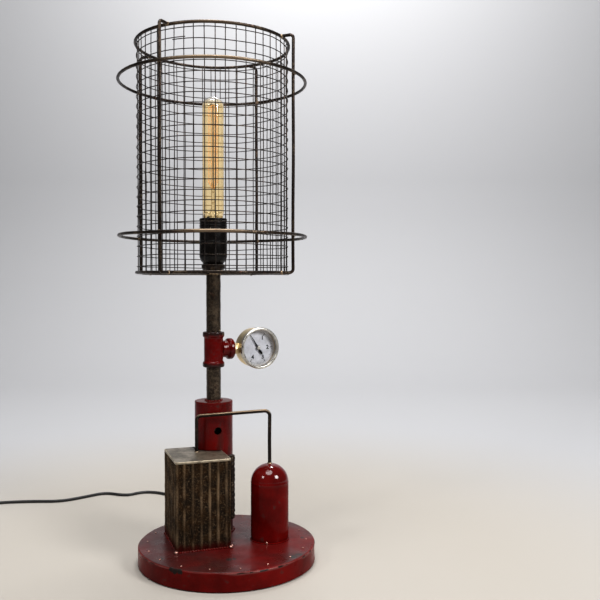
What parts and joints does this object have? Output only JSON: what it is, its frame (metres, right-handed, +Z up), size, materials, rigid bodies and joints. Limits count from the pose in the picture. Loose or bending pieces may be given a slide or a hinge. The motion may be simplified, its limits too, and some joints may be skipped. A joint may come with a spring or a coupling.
{
  "type": "industrial pipe table lamp",
  "caption": "Table lamp of pipe fittings on a round drum: ribbed box, gas bottle, tee with pressure gauge, tube bulb in a wire mesh cage.",
  "frame": {"origin": "centre of the drum's underside, on the table", "axes": "+Z up, -Y the front that the gauge and the box face, +X to the gauge's side"},
  "size_m": [0.4896, 0.475, 0.666],
  "materials": {
    "oxblood": "gloss",
    "red_fitting": "satin",
    "bronze_ribs": "satin",
    "pale_bronze": "satin",
    "dark_bronze": "satin",
    "gauge_brass": "polished",
    "gauge_chrome": "polished",
    "clear_lens": "polished",
    "dial_white": "matt",
    "black_enamel": "matt",
    "bakelite": "gloss",
    "porcelain": "gloss",
    "plain_brass": "satin",
    "cap_metal": "satin",
    "amber_glass": "polished",
    "clear_glass": "polished",
    "filament": "satin",
    "inner_steel": "satin",
    "felt": "matt",
    "black_pvc": "satin",
    "black_plastic": "matt"
  },
  "bodies": {
    "lamp": {"base_drum": "oxblood", "base_cover": "felt", "base_posts": "inner_steel", "sleeve_pipe": "oxblood", "sleeve_cap": "oxblood", "sleeve_guide": "inner_steel", "lower_tube": "dark_bronze", "tee_fitting": "red_fitting", "upper_tube": "dark_bronze", "gauge_stem": "gauge_brass", "gauge_case": "gauge_brass", "gauge_bezel": "gauge_chrome", "gauge_lens": "clear_lens", "gauge_dial": "dial_white", "gauge_movement": "plain_brass", "box_core": "oxblood", "ribbed_wrap": "bronze_ribs", "box_top_plate": "pale_bronze", "side_bar": "dark_bronze", "gas_bottle": "oxblood", "link_rod": "dark_bronze", "cage_bottom_ring": "dark_bronze", "cage_top_ring": "dark_bronze", "cage_lower_hoop": "dark_bronze", "cage_upper_hoop": "dark_bronze", "cage_bracket_front_left": "dark_bronze", "cage_bracket_front_right": "dark_bronze", "cage_bracket_back_right": "dark_bronze", "cage_bracket_back_left": "dark_bronze", "cage_cross": "dark_bronze", "mesh_uprights": "dark_bronze", "mesh_rows": "dark_bronze", "holder_ring": "dark_bronze", "holder_cap": "bakelite", "holder_skirt": "bakelite", "holder_insulator": "porcelain", "holder_contact": "plain_brass", "screw_shell": "plain_brass", "cable_gland": "black_plastic", "lead_inner": "black_pvc", "lead_near": "black_pvc", "lead_far": "black_pvc", "lead_tail": "black_pvc", "lead_coil": "black_pvc", "switch_body": "black_plastic", "plug_body": "black_plastic", "plug_pins": "inner_steel"},
    "pointer": {"gauge_pointer": "black_enamel"},
    "bulb_foot": {"bulb_tip": "cap_metal"},
    "bulb": {"bulb_cap": "cap_metal", "bulb_glass": "amber_glass", "bulb_stem": "clear_glass", "bulb_filament": "filament"},
    "rocker": {"switch_rocker": "black_plastic"}
  },
  "joints": [
    {"name": "pointer_turn", "type": "hinge", "parent": "lamp", "child": "pointer", "pos_m": [0.05506, 0.05977, 0.2648], "axis": [-0.1736, 0.9848, 0], "range_deg": [0, 244], "stiffness_Nm_per_rad": 0.0002},
    {"name": "bulb_lift", "type": "slide", "parent": "lamp", "child": "bulb_foot", "axis": [0, 0, 1], "range_m": [0, 0.0218]},
    {"name": "bulb_turn", "type": "hinge", "parent": "bulb_foot", "child": "bulb", "pos_m": [-0.006, 0.049, 0.44], "axis": [0, 0, 1], "range_deg": [0, 2160]},
    {"name": "rocker_tip", "type": "hinge", "parent": "lamp", "child": "rocker", "pos_m": [-0.01, 0.236, 0.014], "axis": [1, 0, 0], "range_deg": [0, 16]}
  ],
  "couplings": [
    {"joint": "bulb_lift", "follows": "bulb_turn", "m_per_rad": 0.00057757}
  ]
}
